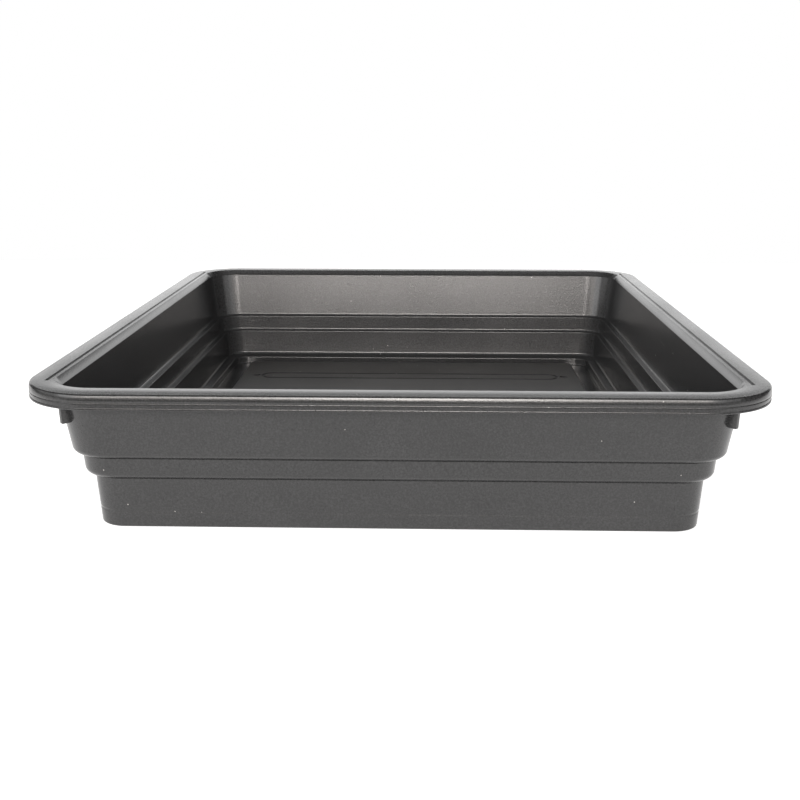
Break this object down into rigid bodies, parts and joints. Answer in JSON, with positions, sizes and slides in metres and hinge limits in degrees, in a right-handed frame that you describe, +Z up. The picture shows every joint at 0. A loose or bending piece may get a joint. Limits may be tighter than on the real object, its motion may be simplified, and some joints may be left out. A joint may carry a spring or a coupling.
{
  "type": "propagator tray",
  "caption": "Deep black rectangular propagator tray with a flanged rim, stepped drafted walls, corner stacking fins and a drainage channel round a flat floor panel.",
  "frame": {"origin": "on the ground plane under the middle of the tray", "axes": "+X to the right and +Y to the back as seen from the end in the picture, +Z up"},
  "size_m": [0.42, 0.52, 0.088],
  "materials": {
    "black_polypropylene": "satin"
  },
  "bodies": {
    "root": {"rim_flange": "black_polypropylene", "rim_skirt": "black_polypropylene", "upper_wall": "black_polypropylene", "middle_wall": "black_polypropylene", "lower_wall": "black_polypropylene", "base_channel": "black_polypropylene", "floor_panel": "black_polypropylene", "stacking_fin_front_left": "black_polypropylene", "stacking_fin_front_right": "black_polypropylene", "stacking_fin_back_left": "black_polypropylene", "stacking_fin_back_right": "black_polypropylene"}
  },
  "joints": []
}
